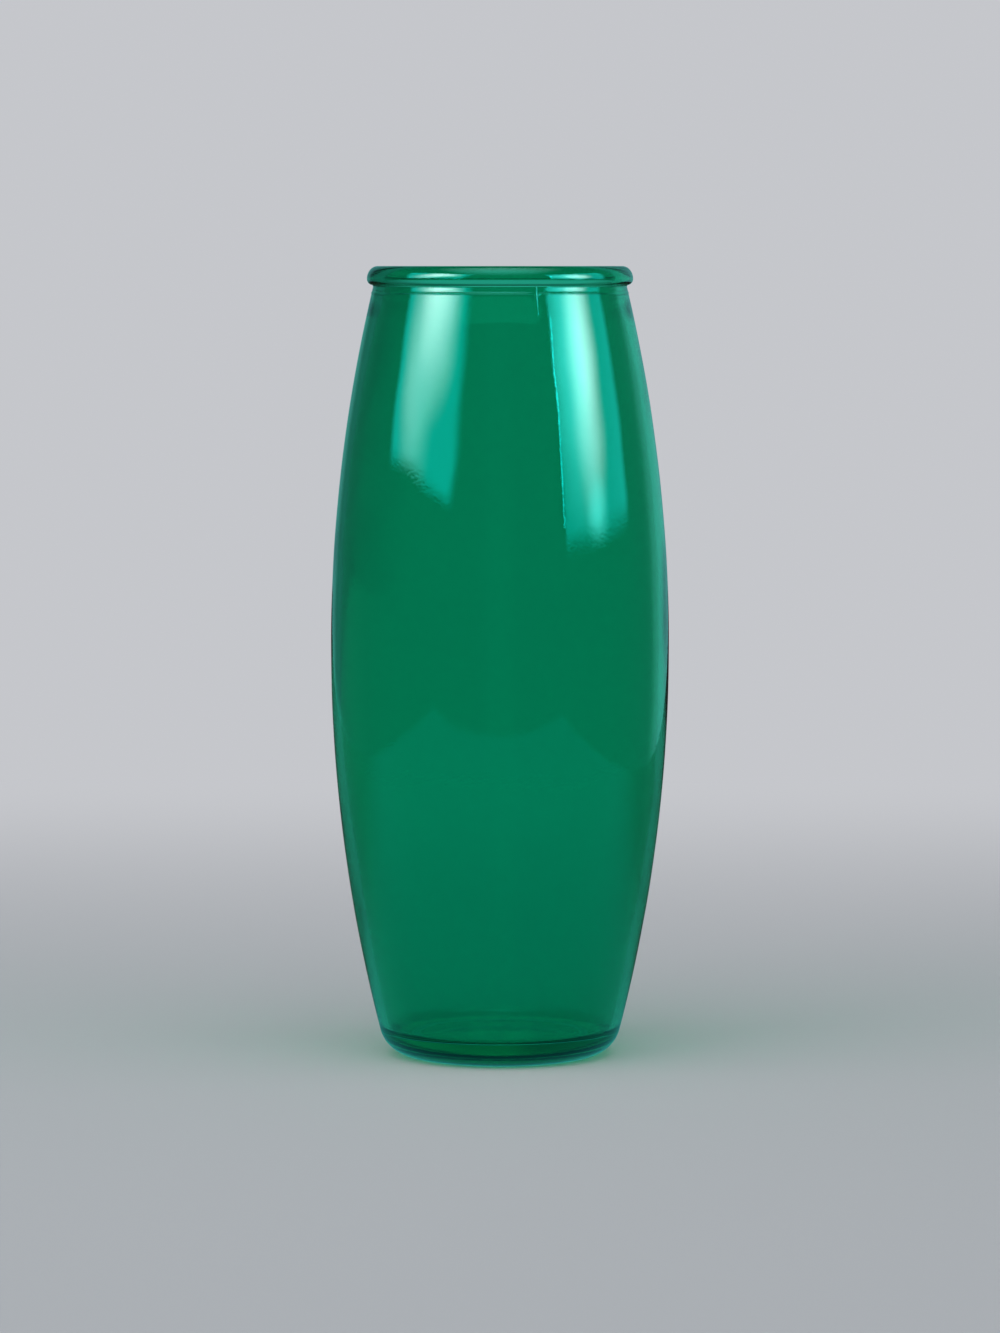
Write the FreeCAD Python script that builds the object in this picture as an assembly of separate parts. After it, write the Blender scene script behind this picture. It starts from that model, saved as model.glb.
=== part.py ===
import FreeCAD, Part
import math
import os

# A barrel-shaped glass vase, formed as one continuous piece of glass: a round bead at the lip, a
# short straight mouth, one long bulging side and a thick base that stands on a narrow flat ring.
# Millimetres. Z is the axis of the vase, and the origin is on it, in the plane the vase stands on.

HEIGHT = 267.0  # standing plane to the top of the lip

# Side: one arc in section, from the heel to the groove under the bead
BELLY_RADIUS = 57.2  # outside, where the vase is widest
BELLY_HEIGHT = 138.2  # height of that widest place
NECK_RADIUS = 42.6  # outside, at the foot of the bead
WALL = 3.0  # glass in the side, measured square to it

# Base
HEEL_ARC = 11.0  # outside round from the side to the standing ring
STANDING_RING = 3.0  # width of the flat ring that touches the table
PUNT_RISE = 2.0  # how far the hollow under the base rises at its middle
BASE_GLASS = 6.5  # glass between the middle of that hollow and the floor inside
INNER_HEEL_ARC = 3.0  # inside round from the floor to the side

# Lip
BEAD_HEIGHT = 6.4  # foot of the bead to the top of the lip
BEAD_OVERHANG = 2.2  # how far the bead stands out past the neck
BEAD_UNDER_ARC = 2.1  # round of the bead's underside
GROOVE_ARC = 0.6  # hollow round where the bead meets the neck
MOUTH_GLASS = 3.4  # glass between the neck's outside and the mouth
LIP_INNER_ARC = 2.0  # round from the top of the lip down into the mouth
MOUTH_STRAIGHT = 4.0  # straight part of the mouth
MOUTH_BLEND = 14.0  # height in which the mouth widens to meet the side

# Ridge left where the mould for the lip met the mould for the side
RIDGE_DROP = 2.5  # middle of the ridge below the foot of the bead
RIDGE_WIDTH = 0.8
RIDGE_RISE = 0.2

QUARTER_TURN_WEIGHT = math.sqrt(0.5)  # makes a three-pole curve an exact quarter of an ellipse
UP = FreeCAD.Vector(0, 0, 1)
ORIGIN = FreeCAD.Vector(0, 0, 0)

neck_height = HEIGHT - BEAD_HEIGHT
mouth_radius = NECK_RADIUS - MOUTH_GLASS
floor_height = PUNT_RISE + BASE_GLASS


def place(r, z):
    """A point of the section: r out from the axis, z up."""
    return FreeCAD.Vector(r, 0, z)


def side_circle():
    """The circle through the widest place and the neck, centred level with the widest place."""
    bulge = BELLY_RADIUS - NECK_RADIUS
    reach = neck_height - BELLY_HEIGHT
    radius = (reach**2 + bulge**2) / (2 * bulge)
    return place(BELLY_RADIUS - radius, BELLY_HEIGHT), radius


side_centre, side_arc = side_circle()


def side_place(z, inset=0.0):
    """The side's outside at a height, or a surface that lies inset under it."""
    radius = side_arc - inset
    return place(side_centre.x + math.sqrt(radius**2 - (z - side_centre.z) ** 2), z)


def from_centre(centre, radius, towards):
    """The point of a circle that lies on the line from its centre towards another point."""
    return centre + (towards - centre).normalize() * radius


def arc(centre, radius, start, end):
    """The shorter arc of a circle between two of its points."""
    return Part.Arc(start, from_centre(centre, radius, (start + end) * 0.5), end)


def quarter_ellipse(start, corner, end):
    """A quarter of an ellipse that leaves start towards the corner and reaches end from it."""
    curve = Part.BezierCurve()
    curve.setPoles([start, corner, end])
    curve.setWeight(2, QUARTER_TURN_WEIGHT)
    return curve


def heel(level, radius, inset):
    """The round that touches a level floor and the side: its arc, from the floor end to the side end."""
    reach = side_arc - inset - radius
    rise = level + radius
    centre = place(side_centre.x + math.sqrt(reach**2 - (rise - side_centre.z) ** 2), rise)
    floor_end = place(centre.x, level)
    side_end = from_centre(side_centre, side_arc - inset, centre)
    return arc(centre, radius, floor_end, side_end), floor_end, side_end


def base_outside():
    """Hollow under the base, standing ring and heel. Gives the curves and both their ends."""
    heel_curve, ring_outer, side_start = heel(0.0, HEEL_ARC, 0.0)
    ring_inner = ring_outer - place(STANDING_RING, 0)
    punt_radius = (ring_inner.x**2 + PUNT_RISE**2) / (2 * PUNT_RISE)
    punt_top = place(0, PUNT_RISE)
    punt = arc(place(0, PUNT_RISE - punt_radius), punt_radius, punt_top, ring_inner)
    return [punt, Part.LineSegment(ring_inner, ring_outer), heel_curve], punt_top, side_start


def groove(bead_centre):
    """The hollow round that touches the side and the bead's underside, with its two ends."""
    from_side = side_arc + GROOVE_ARC
    from_bead = BEAD_UNDER_ARC + GROOVE_ARC
    span = bead_centre - side_centre
    along = (from_side**2 - from_bead**2 + span.Length**2) / (2 * span.Length)
    off = math.sqrt(from_side**2 - along**2)
    unit = FreeCAD.Vector(span).normalize()
    downward = unit.cross(FreeCAD.Vector(0, -1, 0))
    centre = side_centre + unit * along + downward * off
    low = from_centre(side_centre, side_arc, centre)
    high = from_centre(bead_centre, BEAD_UNDER_ARC, centre)
    return arc(centre, GROOVE_ARC, low, high), low, high


def side_outside(start):
    """The long side with the mould ridge near its top, then the groove and the bead up to its crown."""
    ridge_height = neck_height - RIDGE_DROP
    ridge_low = side_place(ridge_height - RIDGE_WIDTH / 2)
    ridge_high = side_place(ridge_height + RIDGE_WIDTH / 2)
    ridge_top = side_place(ridge_height) + place(RIDGE_RISE, 0)

    widest = place(NECK_RADIUS + BEAD_OVERHANG, neck_height + BEAD_UNDER_ARC)
    bead_centre = widest - place(BEAD_UNDER_ARC, 0)
    crown = place(mouth_radius + LIP_INNER_ARC, HEIGHT)
    groove_curve, groove_low, groove_high = groove(bead_centre)
    curves = [
        arc(side_centre, side_arc, start, ridge_low),
        Part.Arc(ridge_low, ridge_top, ridge_high),
        arc(side_centre, side_arc, ridge_high, groove_low),
        groove_curve,
        arc(bead_centre, BEAD_UNDER_ARC, groove_high, widest),
        quarter_ellipse(widest, place(widest.x, HEIGHT), crown),
    ]
    return curves, crown


def inside(crown):
    """Inner round of the lip, straight mouth, blend to the side, inside of the side, heel and floor."""
    mouth_top = place(mouth_radius, HEIGHT - LIP_INNER_ARC)
    mouth_end = mouth_top - place(0, MOUTH_STRAIGHT)
    blend_end = side_place(mouth_end.z - MOUTH_BLEND, WALL)
    handle = MOUTH_BLEND / 3
    up_the_side = FreeCAD.Vector(0, -1, 0).cross(blend_end - side_centre).normalize()
    if up_the_side.z < 0:
        up_the_side = up_the_side * -1
    blend = Part.BezierCurve()
    blend.setPoles([mouth_end, mouth_end - UP * handle, blend_end + up_the_side * handle, blend_end])

    heel_curve, floor_edge, side_end = heel(floor_height, INNER_HEEL_ARC, WALL)
    floor_middle = place(0, floor_height)
    curves = [
        arc(place(crown.x, mouth_top.z), LIP_INNER_ARC, crown, mouth_top),
        Part.LineSegment(mouth_top, mouth_end),
        blend,
        arc(side_centre, side_arc - WALL, blend_end, side_end),
        heel_curve,
        Part.LineSegment(floor_edge, floor_middle),
    ]
    return curves, floor_middle


def glass_vase():
    """The whole section of the glass, turned once round the axis."""
    under, punt_top, side_start = base_outside()
    outer, crown = side_outside(side_start)
    inner, floor_middle = inside(crown)
    axis_line = Part.LineSegment(floor_middle, punt_top)
    section = Part.Wire([curve.toShape() for curve in [*under, *outer, *inner, axis_line]])
    return Part.Face(section).revolve(ORIGIN, UP)


os.makedirs("parts", exist_ok=True)
vase = glass_vase()
vase.exportStep("parts/glass_vase.step")
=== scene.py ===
import math

import bpy
import numpy as np
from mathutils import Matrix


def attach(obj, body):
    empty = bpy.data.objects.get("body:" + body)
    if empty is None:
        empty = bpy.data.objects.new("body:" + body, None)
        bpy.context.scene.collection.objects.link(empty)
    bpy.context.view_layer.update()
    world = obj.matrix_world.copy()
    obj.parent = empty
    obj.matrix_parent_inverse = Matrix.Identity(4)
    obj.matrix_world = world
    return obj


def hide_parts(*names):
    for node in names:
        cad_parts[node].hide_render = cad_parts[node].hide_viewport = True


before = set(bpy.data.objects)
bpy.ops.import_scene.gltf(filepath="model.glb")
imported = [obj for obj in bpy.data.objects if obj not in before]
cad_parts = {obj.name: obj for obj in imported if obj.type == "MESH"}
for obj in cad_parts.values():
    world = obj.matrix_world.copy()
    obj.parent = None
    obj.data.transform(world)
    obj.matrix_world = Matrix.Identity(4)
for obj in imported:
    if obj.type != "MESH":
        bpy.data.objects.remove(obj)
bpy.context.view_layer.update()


# The glass of the vase: one piece of green soda-lime glass, blown in a mould that opens in two halves.
# In section it is a thick base with a hollow under it, a long bulging side and a round bead at the lip.
# Lengths are in millimetres here and in metres in the mesh.

MM = 0.001
HEIGHT = 267.0
BELLY_RADIUS, BELLY_HEIGHT, NECK_RADIUS, WALL = 57.2, 138.2, 42.6, 3.0
HEEL_ARC, STANDING_RING, PUNT_RISE, BASE_GLASS, INNER_HEEL_ARC = 11.0, 3.0, 2.0, 6.5, 3.0
BEAD_HEIGHT, BEAD_OVERHANG, BEAD_UNDER_ARC, GROOVE_ARC = 6.4, 2.2, 2.1, 0.6
MOUTH_GLASS, LIP_INNER_ARC, MOUTH_STRAIGHT, MOUTH_BLEND = 3.4, 2.0, 4.0, 14.0
INNER_SIDE_END, INNER_SIDE_GAP = 12.0, 0.5

neck_height = HEIGHT - BEAD_HEIGHT
mouth_radius = NECK_RADIUS - MOUTH_GLASS
floor_height = PUNT_RISE + BASE_GLASS
bulge = BELLY_RADIUS - NECK_RADIUS
SIDE_ARC = ((neck_height - BELLY_HEIGHT) ** 2 + bulge**2) / (2 * bulge)
side_centre = np.array([BELLY_RADIUS - SIDE_ARC, BELLY_HEIGHT])


# Marks of the mould: a ridge where the lip's ring met the side's halves, and a seam where each pair met.
PARTING_HEIGHT = neck_height - 2.5
PARTING_WIDTH, PARTING_RISE, PARTING_REACH = 0.30, 0.14, 2.4
NOTCH_DEPTH, NOTCH_WIDTH = 1.0, 0.9
SEAM_ANGLE = math.radians(16.0)
SEAM_WIDTH, SEAM_RISE = 0.22, 0.07
SEAM_FAINTEST, SEAM_FADE = 0.08, 9.0
MARKS_END = neck_height + 0.2

# Ripples in the glass: they fade in from this height up and from the neck down. The inset keeps them
# inside the solid.
RIPPLE_START, RIPPLE_EASE, RIPPLE_INSET, RIPPLE_WAVES = 14, 20, 0.04, 9
INNER_RIPPLE_END = neck_height - 12


def side_line(heights, inset=0.0):
    """Points (r, z) of the side at these heights: r = centre + sqrt(arc^2 - (z - centre height)^2)."""
    radius = SIDE_ARC - inset
    r = side_centre[0] + np.sqrt(radius**2 - (heights - side_centre[1]) ** 2)
    return np.column_stack([r, heights])


def arc_line(centre, radius, start, end, count):
    """Points centre + radius (cos t, sin t), t running evenly from start to end degrees."""
    t = np.radians(np.linspace(start, end, count))
    return np.asarray(centre) + radius * np.column_stack([np.cos(t), np.sin(t)])


def heel_line(level, radius, inset, count):
    """The round that touches a level floor and the side, from the floor up to the side."""
    reach = SIDE_ARC - inset - radius
    rise = level + radius
    r = side_centre[0] + math.sqrt(reach**2 - (rise - side_centre[1]) ** 2)
    touch = math.degrees(math.atan2(rise - side_centre[1], r - side_centre[0]))
    return arc_line((r, rise), radius, -90.0, touch, count)


def groove_line(count):
    """The hollow round between side and bead: its centre is a groove radius away from both circles."""
    bead = np.array([NECK_RADIUS + BEAD_OVERHANG - BEAD_UNDER_ARC, neck_height + BEAD_UNDER_ARC])
    span = bead - side_centre
    distance = np.hypot(*span)
    far, near = SIDE_ARC + GROOVE_ARC, BEAD_UNDER_ARC + GROOVE_ARC
    along = (far**2 - near**2 + distance**2) / (2 * distance)
    off = math.sqrt(far**2 - along**2)
    unit = span / distance
    centre = side_centre + unit * along + np.array([unit[1], -unit[0]]) * off
    low, high = side_centre - centre, bead - centre
    start = math.degrees(math.atan2(low[1], low[0])) % 360
    end = math.degrees(math.atan2(high[1], high[0])) % 360
    bead_start = math.degrees(math.atan2(-high[1], -high[0]))
    return arc_line(centre, GROOVE_ARC, start, end, count), bead, bead_start


def blend_line(start, end, slope, count):
    """A cubic that leaves start straight down and meets end along the side's slope."""
    t = np.linspace(0, 1, count)[:, None]
    handle = MOUTH_BLEND / 3
    p1, p2 = start - (0, handle), end + slope * handle
    return (1 - t) ** 3 * start + 3 * (1 - t) ** 2 * t * p1 + 3 * (1 - t) * t**2 * p2 + t**3 * end


def outer_section():
    """Outside from the middle of the hollow under the base, round the heel, up the side, over the bead."""
    heel = heel_line(0.0, HEEL_ARC, 0.0, 26)
    ring_inner = heel[0, 0] - STANDING_RING
    punt_arc = (ring_inner**2 + PUNT_RISE**2) / (2 * PUNT_RISE)
    half = math.degrees(math.asin(ring_inner / punt_arc))
    punt = arc_line((0, PUNT_RISE - punt_arc), punt_arc, 90.0, 90.0 - half, 22)
    ring = np.column_stack([np.linspace(ring_inner, heel[0, 0], 5), np.zeros(5)])
    groove, bead, bead_start = groove_line(7)
    side = side_line(np.linspace(heel[-1, 1], PARTING_HEIGHT - PARTING_REACH, 130))
    parting = side_line(np.linspace(PARTING_HEIGHT - PARTING_REACH, groove[0, 1], 46))
    under = arc_line(bead, BEAD_UNDER_ARC, bead_start, 0.0, 14)
    crown_reach = bead[0] + BEAD_UNDER_ARC - mouth_radius - LIP_INNER_ARC
    t = np.radians(np.linspace(0, 90, 18))
    over = np.column_stack([
        mouth_radius + LIP_INNER_ARC + crown_reach * np.cos(t),
        bead[1] + (HEIGHT - bead[1]) * np.sin(t),
    ])
    return np.vstack([punt, ring[1:], heel[1:], side[1:], parting[1:], groove[1:], under[1:], over[1:]])


def inner_section():
    """Inside from the crown of the lip down the mouth and the side to the middle of the floor."""
    lip = arc_line((mouth_radius + LIP_INNER_ARC, HEIGHT - LIP_INNER_ARC), LIP_INNER_ARC, 90.0, 180.0, 12)
    mouth_end = HEIGHT - LIP_INNER_ARC - MOUTH_STRAIGHT
    mouth = np.column_stack([np.full(7, mouth_radius), np.linspace(lip[-1, 1], mouth_end, 7)])
    heel = heel_line(floor_height, INNER_HEEL_ARC, WALL, 18)[::-1]
    side = side_line(np.linspace(mouth_end - MOUTH_BLEND, INNER_SIDE_END, 95), WALL)
    side = side[side[:, 1] > heel[0, 1] + INNER_SIDE_GAP]
    out = side[0] - side_centre
    slope = np.array([-out[1], out[0]]) / np.hypot(*out)
    blend = blend_line(mouth[-1], side[0], slope, 20)
    floor = np.column_stack([np.linspace(heel[-1, 0], 0.0, 18), np.full(18, floor_height)])
    return np.vstack([lip[1:], mouth[1:], blend[1:], side[1:], heel, floor[1:]])


def angles():
    """Directions round the axis: even steps, with a close group across each mould seam."""
    even = np.linspace(0, 2 * np.pi, 200, endpoint=False)
    close = np.array([-4.0, -3.0, -2.2, -1.6, -1.1, -0.7, -0.35, 0, 0.35, 0.7, 1.1, 1.6, 2.2, 3.0, 4.0])
    close = close * SEAM_WIDTH / NECK_RADIUS
    spare = 0.006
    seams = [SEAM_ANGLE, SEAM_ANGLE + np.pi]
    for seam in seams:
        even = even[np.abs(even - seam) > close[-1] + spare]
    return np.sort(np.concatenate([even] + [seam + close for seam in seams]))


def ripples(turn, height, seed, amount, rounds, waves):
    """A sum of a few long waves, each amount * cos(k * angle + m * height + phase), that never line up."""
    draw = np.random.default_rng(seed)
    total = np.zeros(np.broadcast(turn, height).shape)
    for _ in range(RIPPLE_WAVES):
        k = draw.integers(0, rounds + 1)
        m = draw.uniform(-waves, waves)
        total += draw.uniform(0.4, 1.0) * np.cos(k * turn + m * height + draw.uniform(0, 2 * np.pi))
    return total * amount / math.sqrt(RIPPLE_WAVES)


def section_normals(line):
    """Unit normals of the section, pointing out of the glass: the tangent turned a quarter clockwise."""
    tangent = np.gradient(line, axis=0)
    normal = np.column_stack([tangent[:, 1], -tangent[:, 0]])
    return normal / np.hypot(normal[:, 0], normal[:, 1])[:, None]


def mould_marks(turn, height):
    """How far the marks of the mould stand out of the side: the parting ridge and the two seams."""
    across = np.minimum(
        np.abs(np.angle(np.exp(1j * (turn - SEAM_ANGLE)))),
        np.abs(np.angle(np.exp(1j * (turn - SEAM_ANGLE - np.pi)))),
    ) * NECK_RADIUS
    ridge_height = PARTING_HEIGHT - NOTCH_DEPTH * np.exp(-((across / NOTCH_WIDTH) ** 2))
    ridge = PARTING_RISE * np.exp(-(((height - ridge_height) / PARTING_WIDTH) ** 2))
    below = np.clip(neck_height - height, 0, None)
    fade = SEAM_FAINTEST + (1 - SEAM_FAINTEST) * np.exp(-((below / SEAM_FADE) ** 2))
    seam = SEAM_RISE * fade * np.exp(-((across / SEAM_WIDTH) ** 2))
    return ridge + seam


def turned_glass():
    """The section turned round the axis: (r cos a, r sin a, z), moved out by the marks and the ripples."""
    outer, inner = outer_section(), inner_section()
    line = np.vstack([outer, inner])
    normal = section_normals(line)
    turn = angles()[None, :]
    height = line[:, 1:2]
    outside = (np.arange(len(line)) < len(outer))[:, None]
    on_side = outside & (height > HEEL_ARC) & (height < MARKS_END)
    on_wall = ~outside & (height > floor_height + INNER_HEEL_ARC) & (height < INNER_RIPPLE_END)
    calm = np.clip((height - RIPPLE_START) / RIPPLE_EASE, 0, 1)
    calm = calm * np.clip((neck_height - height) / RIPPLE_EASE, 0, 1)
    outer_ripples = calm * (ripples(turn, height, seed=4, amount=0.03, rounds=14, waves=0.35) - RIPPLE_INSET)
    inner_ripples = calm * ripples(turn, height, seed=9, amount=0.10, rounds=5, waves=0.07)
    move = np.where(on_side, mould_marks(turn, height) + outer_ripples, np.where(on_wall, inner_ripples, 0.0))
    r = line[:, :1] + move * normal[:, :1]
    z = height + move * normal[:, 1:]
    azimuth = turn - np.pi / 2
    points = np.stack([r * np.cos(azimuth), r * np.sin(azimuth), z + 0 * azimuth], axis=-1)
    rows, columns = points.shape[:2]
    body = points[1:-1].reshape(-1, 3)
    index = np.arange((rows - 2) * columns).reshape(rows - 2, columns)
    ahead = np.roll(index, -1, axis=1)
    quads = np.stack([index[:-1], ahead[:-1], ahead[1:], index[1:]], axis=-1).reshape(-1, 4)
    under, over = len(body), len(body) + 1
    fan_under = np.stack([ahead[0], index[0], np.full(columns, under)], axis=-1)
    fan_over = np.stack([index[-1], ahead[-1], np.full(columns, over)], axis=-1)
    vertices = np.vstack([body, [0, 0, line[0, 1]], [0, 0, line[-1, 1]]]) * MM
    return vertices, quads.tolist() + fan_under.tolist() + fan_over.tolist()


def smooth_piece(name, vertices, faces):
    """A new smooth-shaded object from arrays, at the origin."""
    mesh = bpy.data.meshes.new(name)
    mesh.from_pydata(vertices.tolist(), [], faces)
    mesh.polygons.foreach_set("use_smooth", np.ones(len(mesh.polygons), dtype=bool))
    mesh.validate()
    mesh.update()
    piece = bpy.data.objects.new(name, mesh)
    bpy.context.scene.collection.objects.link(piece)
    return piece


# Green glass, coloured all through by iron and chromium, which take the red out of the light. Part of the
# colour is laid on its surface, so that thick places such as the base stay clear.
GLASS_TINT = (0.30, 0.8675, 0.751)
GLASS_DENSITY = 130.0


def green_glass():
    """Clear smooth glass around an absorbing volume, with a fine orange-peel on its surface."""
    material = bpy.data.materials.new("green_glass")
    material.use_nodes = True
    tree = material.node_tree
    nodes, links = tree.nodes, tree.links
    glass = nodes["Principled BSDF"]
    glass.inputs["Base Color"].default_value = (0.045, 0.62, 0.41, 1)
    glass.inputs["Roughness"].default_value = 0.02
    glass.inputs["IOR"].default_value = 1.52
    glass.inputs["Transmission Weight"].default_value = 1.0
    glass.inputs["Specular Tint"].default_value = (0.12, 1.0, 0.92, 1)
    place = nodes.new("ShaderNodeTexCoord")
    peel = nodes.new("ShaderNodeTexNoise")
    peel.inputs["Scale"].default_value = 900.0
    peel.inputs["Detail"].default_value = 1.0
    links.new(place.outputs["Object"], peel.inputs["Vector"])
    bump = nodes.new("ShaderNodeBump")
    bump.inputs["Strength"].default_value = 0.08
    bump.inputs["Distance"].default_value = 0.0001
    links.new(peel.outputs["Fac"], bump.inputs["Height"])
    links.new(bump.outputs["Normal"], glass.inputs["Normal"])
    colour = nodes.new("ShaderNodeVolumeAbsorption")
    colour.inputs["Color"].default_value = (*GLASS_TINT, 1)
    colour.inputs["Density"].default_value = GLASS_DENSITY
    out = nodes["Material Output"]
    links.new(colour.outputs[0], out.inputs["Volume"])
    path = nodes.new("ShaderNodeLightPath")
    clear = nodes.new("ShaderNodeBsdfTransparent")
    clear.inputs["Color"].default_value = (0.75, 0.92, 0.86, 1)
    mix = nodes.new("ShaderNodeMixShader")
    links.new(path.outputs["Is Shadow Ray"], mix.inputs["Fac"])
    links.new(glass.outputs[0], mix.inputs[1])
    links.new(clear.outputs[0], mix.inputs[2])
    links.new(mix.outputs[0], out.inputs["Surface"])
    return material


vase = smooth_piece("vase", *turned_glass())
vase.data.materials.append(green_glass())
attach(vase, "root")
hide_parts("glass_vase")


# Setting: a pale table in a pale room. The table's far end fades into the room, its near end stops short.
TABLE_LEFT, TABLE_RIGHT, TABLE_NEAR, TABLE_FAR = -0.63, 0.56, -0.64, 2.6
ROOM = (0.56, 0.57, 0.60, 1)


def combined(tree, operation, first, second):
    """The result of a Math node on two outputs, or on an output and a number."""
    both = tree.nodes.new("ShaderNodeMath")
    both.operation = operation
    for socket, value in zip(both.inputs, (first, second)):
        if isinstance(value, bpy.types.NodeSocket):
            tree.links.new(value, socket)
        else:
            socket.default_value = value
    return both.outputs[0]


def ramp(tree, value, start, end, low=0.0, high=1.0):
    """low to high, with soft ends, as the value goes from start to end."""
    node = tree.nodes.new("ShaderNodeMapRange")
    node.interpolation_type = "SMOOTHSTEP"
    for socket, number in zip(("From Min", "From Max", "To Min", "To Max"), (start, end, low, high)):
        node.inputs[socket].default_value = number
    tree.links.new(value, node.inputs["Value"])
    return node.outputs[0]


def blended(tree, share, first, second):
    """first where the share is 0 and second where it is 1, for two numbers, colours or outputs."""
    node = tree.nodes.new("ShaderNodeMix")
    colours = isinstance(first, tuple)
    node.data_type = "RGBA" if colours else "FLOAT"
    ends = node.inputs[6:8] if colours else node.inputs[2:4]
    for socket, value in zip((node.inputs[0], *ends), (share, first, second)):
        if isinstance(value, bpy.types.NodeSocket):
            tree.links.new(value, socket)
        else:
            socket.default_value = value
    return node.outputs[2 if colours else 0]


def ray_kind(tree, kind):
    """1 for one kind of ray and 0 for the rest."""
    return tree.nodes.new("ShaderNodeLightPath").outputs[kind]


def seen_ray(tree):
    """1 for a ray that shows this surface to the camera, straight, in a reflection or through the glass."""
    shown = combined(tree, "MAXIMUM", ray_kind(tree, "Is Camera Ray"), ray_kind(tree, "Is Glossy Ray"))
    return combined(tree, "MAXIMUM", shown, ray_kind(tree, "Is Transmission Ray"))


def mirrored_ray(tree):
    """1 for a ray turned back by a shiny surface: a glossy ray that the glass hasn't let through."""
    glossy, through = ray_kind(tree, "Is Glossy Ray"), ray_kind(tree, "Is Transmission Ray")
    return combined(tree, "MAXIMUM", combined(tree, "SUBTRACT", glossy, through), 0.0)


def table_top():
    """A flat grid: x and y each run in even steps from edge to edge."""
    x = np.linspace(TABLE_LEFT, TABLE_RIGHT, 12)
    y = np.linspace(TABLE_NEAR, TABLE_FAR, 24)
    grid = np.stack([*np.meshgrid(x, y), np.zeros((len(y), len(x)))], axis=-1)
    index = np.arange(len(x) * len(y)).reshape(len(y), len(x))
    quads = np.stack([index[:-1, :-1], index[:-1, 1:], index[1:, 1:], index[1:, :-1]], axis=-1)
    return grid.reshape(-1, 3), quads.reshape(-1, 4).tolist()


def pale_top():
    """Matt pale grey, fading into the room's colour far behind the vase.

    Through the glass its far end is painted a little dimmer. In reflections it is not lit: it shows a painted
    reflection, a glowing teal in front of the vase and near black behind it.
    """
    material = bpy.data.materials.new("pale_top")
    material.use_nodes = True
    tree = material.node_tree
    nodes, links = tree.nodes, tree.links
    matt = nodes["Principled BSDF"]
    matt.inputs["Base Color"].default_value = (0.405, 0.425, 0.445, 1)
    matt.inputs["Roughness"].default_value = 0.6
    matt.inputs["Specular IOR Level"].default_value = 0.0
    place = nodes.new("ShaderNodeTexCoord")
    part = nodes.new("ShaderNodeSeparateXYZ")
    links.new(place.outputs["Object"], part.inputs[0])
    far = ramp(tree, part.outputs["Y"], 0.05, 0.9)
    room = nodes.new("ShaderNodeEmission")
    room.inputs["Color"].default_value = ROOM
    links.new(blended(tree, ray_kind(tree, "Is Transmission Ray"), 1.0, 0.9), room.inputs["Strength"])
    fading = nodes.new("ShaderNodeMixShader")
    links.new(combined(tree, "MULTIPLY", far, seen_ray(tree)), fading.inputs["Fac"])
    links.new(matt.outputs[0], fading.inputs[1])
    links.new(room.outputs[0], fading.inputs[2])
    # Painted reflection: to glossy rays the table is swapped for an emission, teal in front of the vase and
    # near black behind it.
    behind = ramp(tree, part.outputs["Y"], -0.08, 0.18)
    painted_reflection = nodes.new("ShaderNodeEmission")
    links.new(blended(tree, behind, (0.05, 0.50, 0.47, 1), (0.02, 0.02, 0.02, 1)), painted_reflection.inputs["Color"])
    painted_reflection_mix = nodes.new("ShaderNodeMixShader")
    links.new(mirrored_ray(tree), painted_reflection_mix.inputs["Fac"])
    links.new(fading.outputs[0], painted_reflection_mix.inputs[1])
    links.new(painted_reflection.outputs[0], painted_reflection_mix.inputs[2])
    links.new(painted_reflection_mix.outputs[0], nodes["Material Output"].inputs["Surface"])
    return material


table = smooth_piece("table_top", *table_top())
table.data.materials.append(pale_top())


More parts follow.
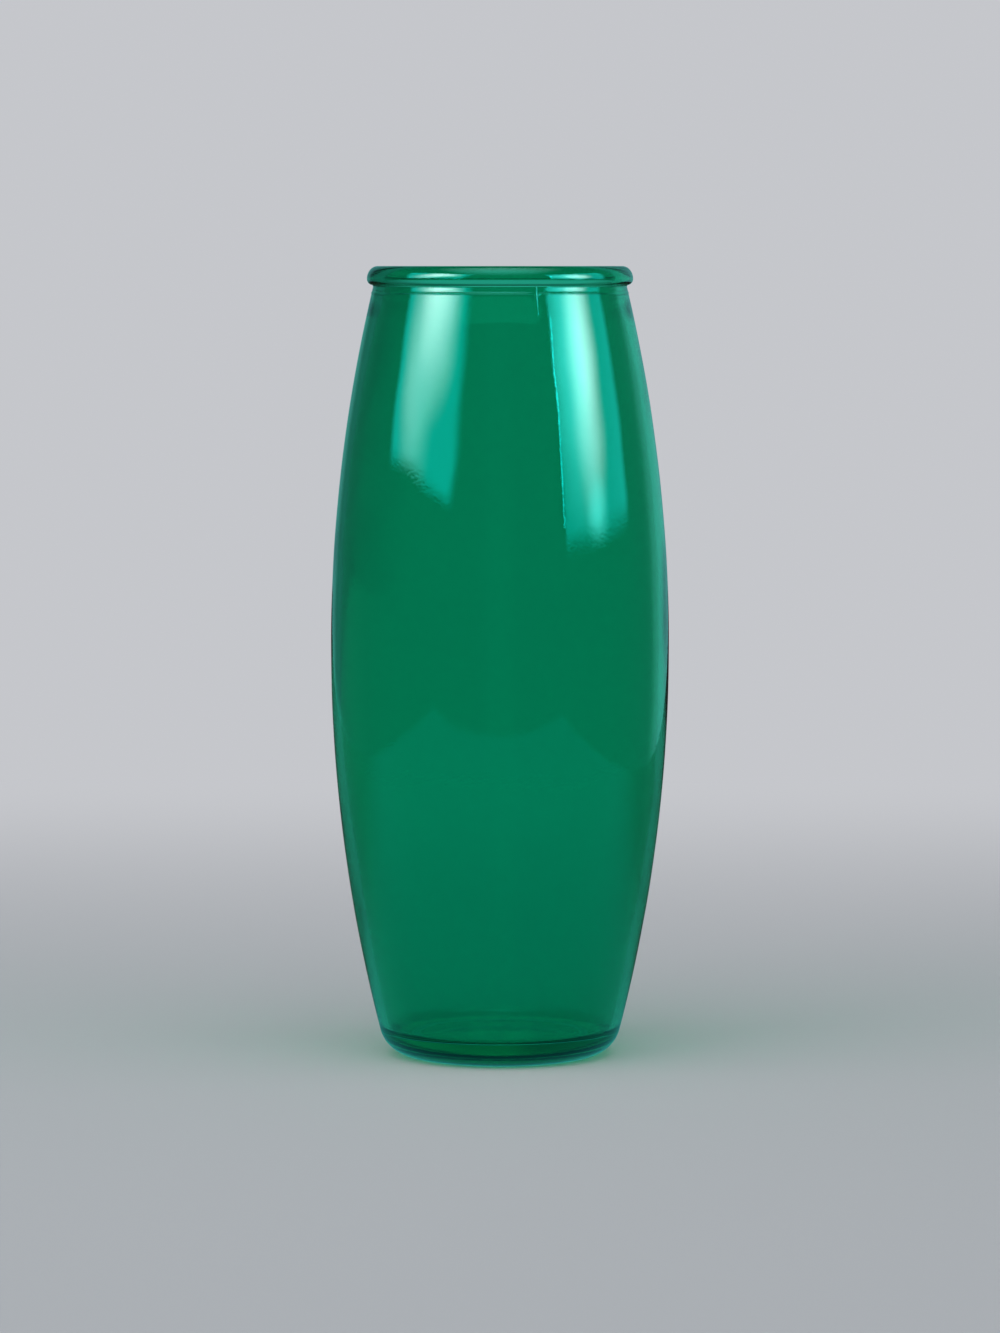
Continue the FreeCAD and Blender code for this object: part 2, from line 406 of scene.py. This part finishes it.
def pale_room():
    """A pale room: full strength near the horizon, dimmer overhead, brighter to the back right.

    Through the glass its sides are painted dimmer. In reflections it is painted a cooler teal, and painted
    dim but for the back.
    """
    world = bpy.data.worlds.new("pale_room")
    world.use_nodes = True
    tree = world.node_tree
    nodes, links = tree.nodes, tree.links
    nodes.clear()
    place = nodes.new("ShaderNodeTexCoord")

    def towards(azimuth, rise, start, end, low, high):
        """low to high as the cosine of the angle from this direction to the ray goes from start to end."""
        along = nodes.new("ShaderNodeVectorMath")
        along.operation = "DOT_PRODUCT"
        along.inputs[1].default_value = (
            math.sin(math.radians(azimuth)) * math.cos(math.radians(rise)),
            -math.cos(math.radians(azimuth)) * math.cos(math.radians(rise)),
            math.sin(math.radians(rise)),
        )
        links.new(place.outputs["Generated"], along.inputs[0])
        return ramp(tree, along.outputs["Value"], start, end, low, high)

    left_side = towards(88, 0, -0.26, -0.06, 0.48, 0.92)
    right_side = towards(88, 0, 0.08, 0.24, 1.0, 0.75)
    through = combined(tree, "MULTIPLY", left_side, right_side)
    overhead = towards(0, 90, 0.35, 0.75, 1.0, 0.3)
    back_right = towards(147, 0, 0.90, 0.97, 1.0, 1.5)
    strength = combined(tree, "MULTIPLY", overhead, back_right)
    # Painted reflection and shade: reflections on the glass see the room dim but towards the back, and rays
    # through the glass see its sides dimmer.
    for kind, share in (
        (mirrored_ray(tree), towards(168, 0, 0.72, 0.84, 0.2, 0.6)),
        (ray_kind(tree, "Is Transmission Ray"), through),
    ):
        strength = combined(tree, "MULTIPLY", strength, blended(tree, kind, 1.0, share))
    seen = nodes.new("ShaderNodeBackground")
    # Painted reflection: reflections on the glass see the room in a teal tint, not in its own colour.
    links.new(blended(tree, mirrored_ray(tree), ROOM, (0.14, 0.57, 0.54, 1)), seen.inputs["Color"])
    links.new(strength, seen.inputs["Strength"])
    light = nodes.new("ShaderNodeBackground")
    light.inputs["Color"].default_value = ROOM
    light.inputs["Strength"].default_value = 0.55
    mix = nodes.new("ShaderNodeMixShader")
    links.new(seen_ray(tree), mix.inputs["Fac"])
    links.new(light.outputs[0], mix.inputs[1])
    links.new(seen.outputs[0], mix.inputs[2])
    out = nodes.new("ShaderNodeOutputWorld")
    links.new(mix.outputs[0], out.inputs["Surface"])
    return world


bpy.context.scene.world = pale_room()


# Lights: two large softboxes either side of the camera, one overhead and a narrow strip, which shine in the
# glass, and three plain fill lamps from the same places, which light the table and come through the glass.
LAMP_TARGET = 0.22  # the height on the axis that every lamp faces
CLOTH_RED = 0.05  # the red share of the light of a lamp that shines in the glass


def softbox(name, azimuth, elevation, width, height, distance, edge, spots=(), fades=(), shines=True):
    """A rectangular soft lamp that faces the vase: an even strength and soft round brighter spots.

    Each spot is (across, up, reach across, reach up, strength, warmth), the first four in shares of the
    lamp's width and height. Each fade (a, b, c, d) brings the lamp in as a * across + b * up goes from c
    to d. The lamps that shine in the glass have cool cloth and leave the table to the others.
    """
    lamp = bpy.data.lights.new(name, "AREA")
    lamp.shape = "RECTANGLE"
    lamp.size, lamp.size_y = width, height
    lamp.energy = math.pi * width * height
    lamp.use_nodes = True
    tree = lamp.node_tree
    nodes, links = tree.nodes, tree.links
    place = nodes.new("ShaderNodeNewGeometry")
    total, red = nodes.new("ShaderNodeValue").outputs[0], nodes.new("ShaderNodeValue").outputs[0]
    total.default_value = edge
    red.default_value = edge * (CLOTH_RED if shines else 1.0)
    for across, up, reach_across, reach_up, strength, warmth in spots:
        scaled = nodes.new("ShaderNodeVectorMath")
        scaled.operation = "MULTIPLY_ADD"
        links.new(place.outputs["Parametric"], scaled.inputs[0])
        scaled.inputs[1].default_value = (1 / reach_across, 1 / reach_up, 0)
        scaled.inputs[2].default_value = (-across / reach_across, -up / reach_up, 0)
        away = nodes.new("ShaderNodeVectorMath")
        away.operation = "LENGTH"
        links.new(scaled.outputs[0], away.inputs[0])
        spot = ramp(tree, away.outputs["Value"], 0.0, 1.0, strength, 0.0)
        total = combined(tree, "ADD", total, spot)
        red = combined(tree, "ADD", red, combined(tree, "MULTIPLY", spot, warmth))
    for across, up, start, end in fades:
        line = nodes.new("ShaderNodeVectorMath")
        line.operation = "DOT_PRODUCT"
        links.new(place.outputs["Parametric"], line.inputs[0])
        line.inputs[1].default_value = (across, up, 0)
        share = ramp(tree, line.outputs["Value"], start, end)
        total = combined(tree, "MULTIPLY", total, share)
        red = combined(tree, "MULTIPLY", red, share)
    cloth = nodes.new("ShaderNodeCombineColor")
    for socket, strength in zip(("Red", "Green", "Blue"), (red, total, total)):
        links.new(strength, cloth.inputs[socket])
    links.new(cloth.outputs[0], nodes["Emission"].inputs["Color"])
    nodes["Emission"].inputs["Strength"].default_value = 1.0
    piece = bpy.data.objects.new(name, lamp)
    a, e = math.radians(azimuth), math.radians(elevation)
    piece.location = (
        distance * math.cos(e) * math.sin(a),
        -distance * math.cos(e) * math.cos(a),
        LAMP_TARGET + distance * math.sin(e),
    )
    piece.rotation_euler = (math.radians(90) - e, 0, a)
    piece.visible_camera = False
    piece.visible_glossy = shines
    piece.visible_diffuse = piece.visible_transmission = not shines
    bpy.context.scene.collection.objects.link(piece)


left_edges = [(1, 0, 0, 0.12), (-1, 0, -1, -0.82), (0.07, 1, 0.05, 0.12), (-1.0, 0.47, -0.94, -0.78)]
right_edges = [(1, 0, 0, 0.05), (-1, 0, -1, -0.86), (0, 1, 0, 0.10)]
softbox("softbox_left", -58, 23, 1.20, 0.62, 1.0, 4.7, [
    (0.55, 0.65, 0.33, 0.48, 16.0, 4.2),
    (0.37, 0.36, 0.28, 0.50, 5.8, 2.9),
], left_edges)
softbox("softbox_right", 73.5, 17.6, 1.14, 0.62, 1.0, 3.6, [
    (0.45, 0.49, 0.28, 0.50, 12.0, 2.9),
    (0.29, 0.56, 0.40, 0.58, 8.5, 0.6),
    (0.47, 0.09, 0.18, 0.14, 6.5, 0.3),
], right_edges)
softbox("softbox_strip", 44.2, 13, 0.016, 0.34, 1.0, 11.0)
softbox("softbox_overhead", 0, 66, 2.4, 3.2, 1.6, 0.05, [
    (0.5, 0.5, 0.6, 0.7, 3.2, 1.0),
], [(0, 1, 0, 0.5), (-1, 0, -1, -0.8), (1, 0, 0, 0.2)])
softbox("fill_left", -58, 23, 1.20, 0.62, 1.0, 3.5, (), left_edges, shines=False)
softbox("fill_right", 73.5, 17.6, 1.14, 0.62, 1.0, 3.5, (), right_edges, shines=False)
softbox("fill_overhead", 0, 66, 2.4, 2.4, 1.8, 1.6, shines=False)

bpy.context.scene.view_settings.view_transform = "Standard"


# Camera: level with the lip, a long lens, tipped down towards the middle of the vase.
camera = bpy.data.objects.new("camera", bpy.data.cameras.new("camera"))
camera.data.lens = 136.0
camera.data.sensor_width = 36.0
camera.location = (0.0, -1.700, 0.2674)
camera.rotation_euler = (math.radians(90 - 4.56), 0, 0)
bpy.context.scene.collection.objects.link(camera)
bpy.context.scene.camera = camera
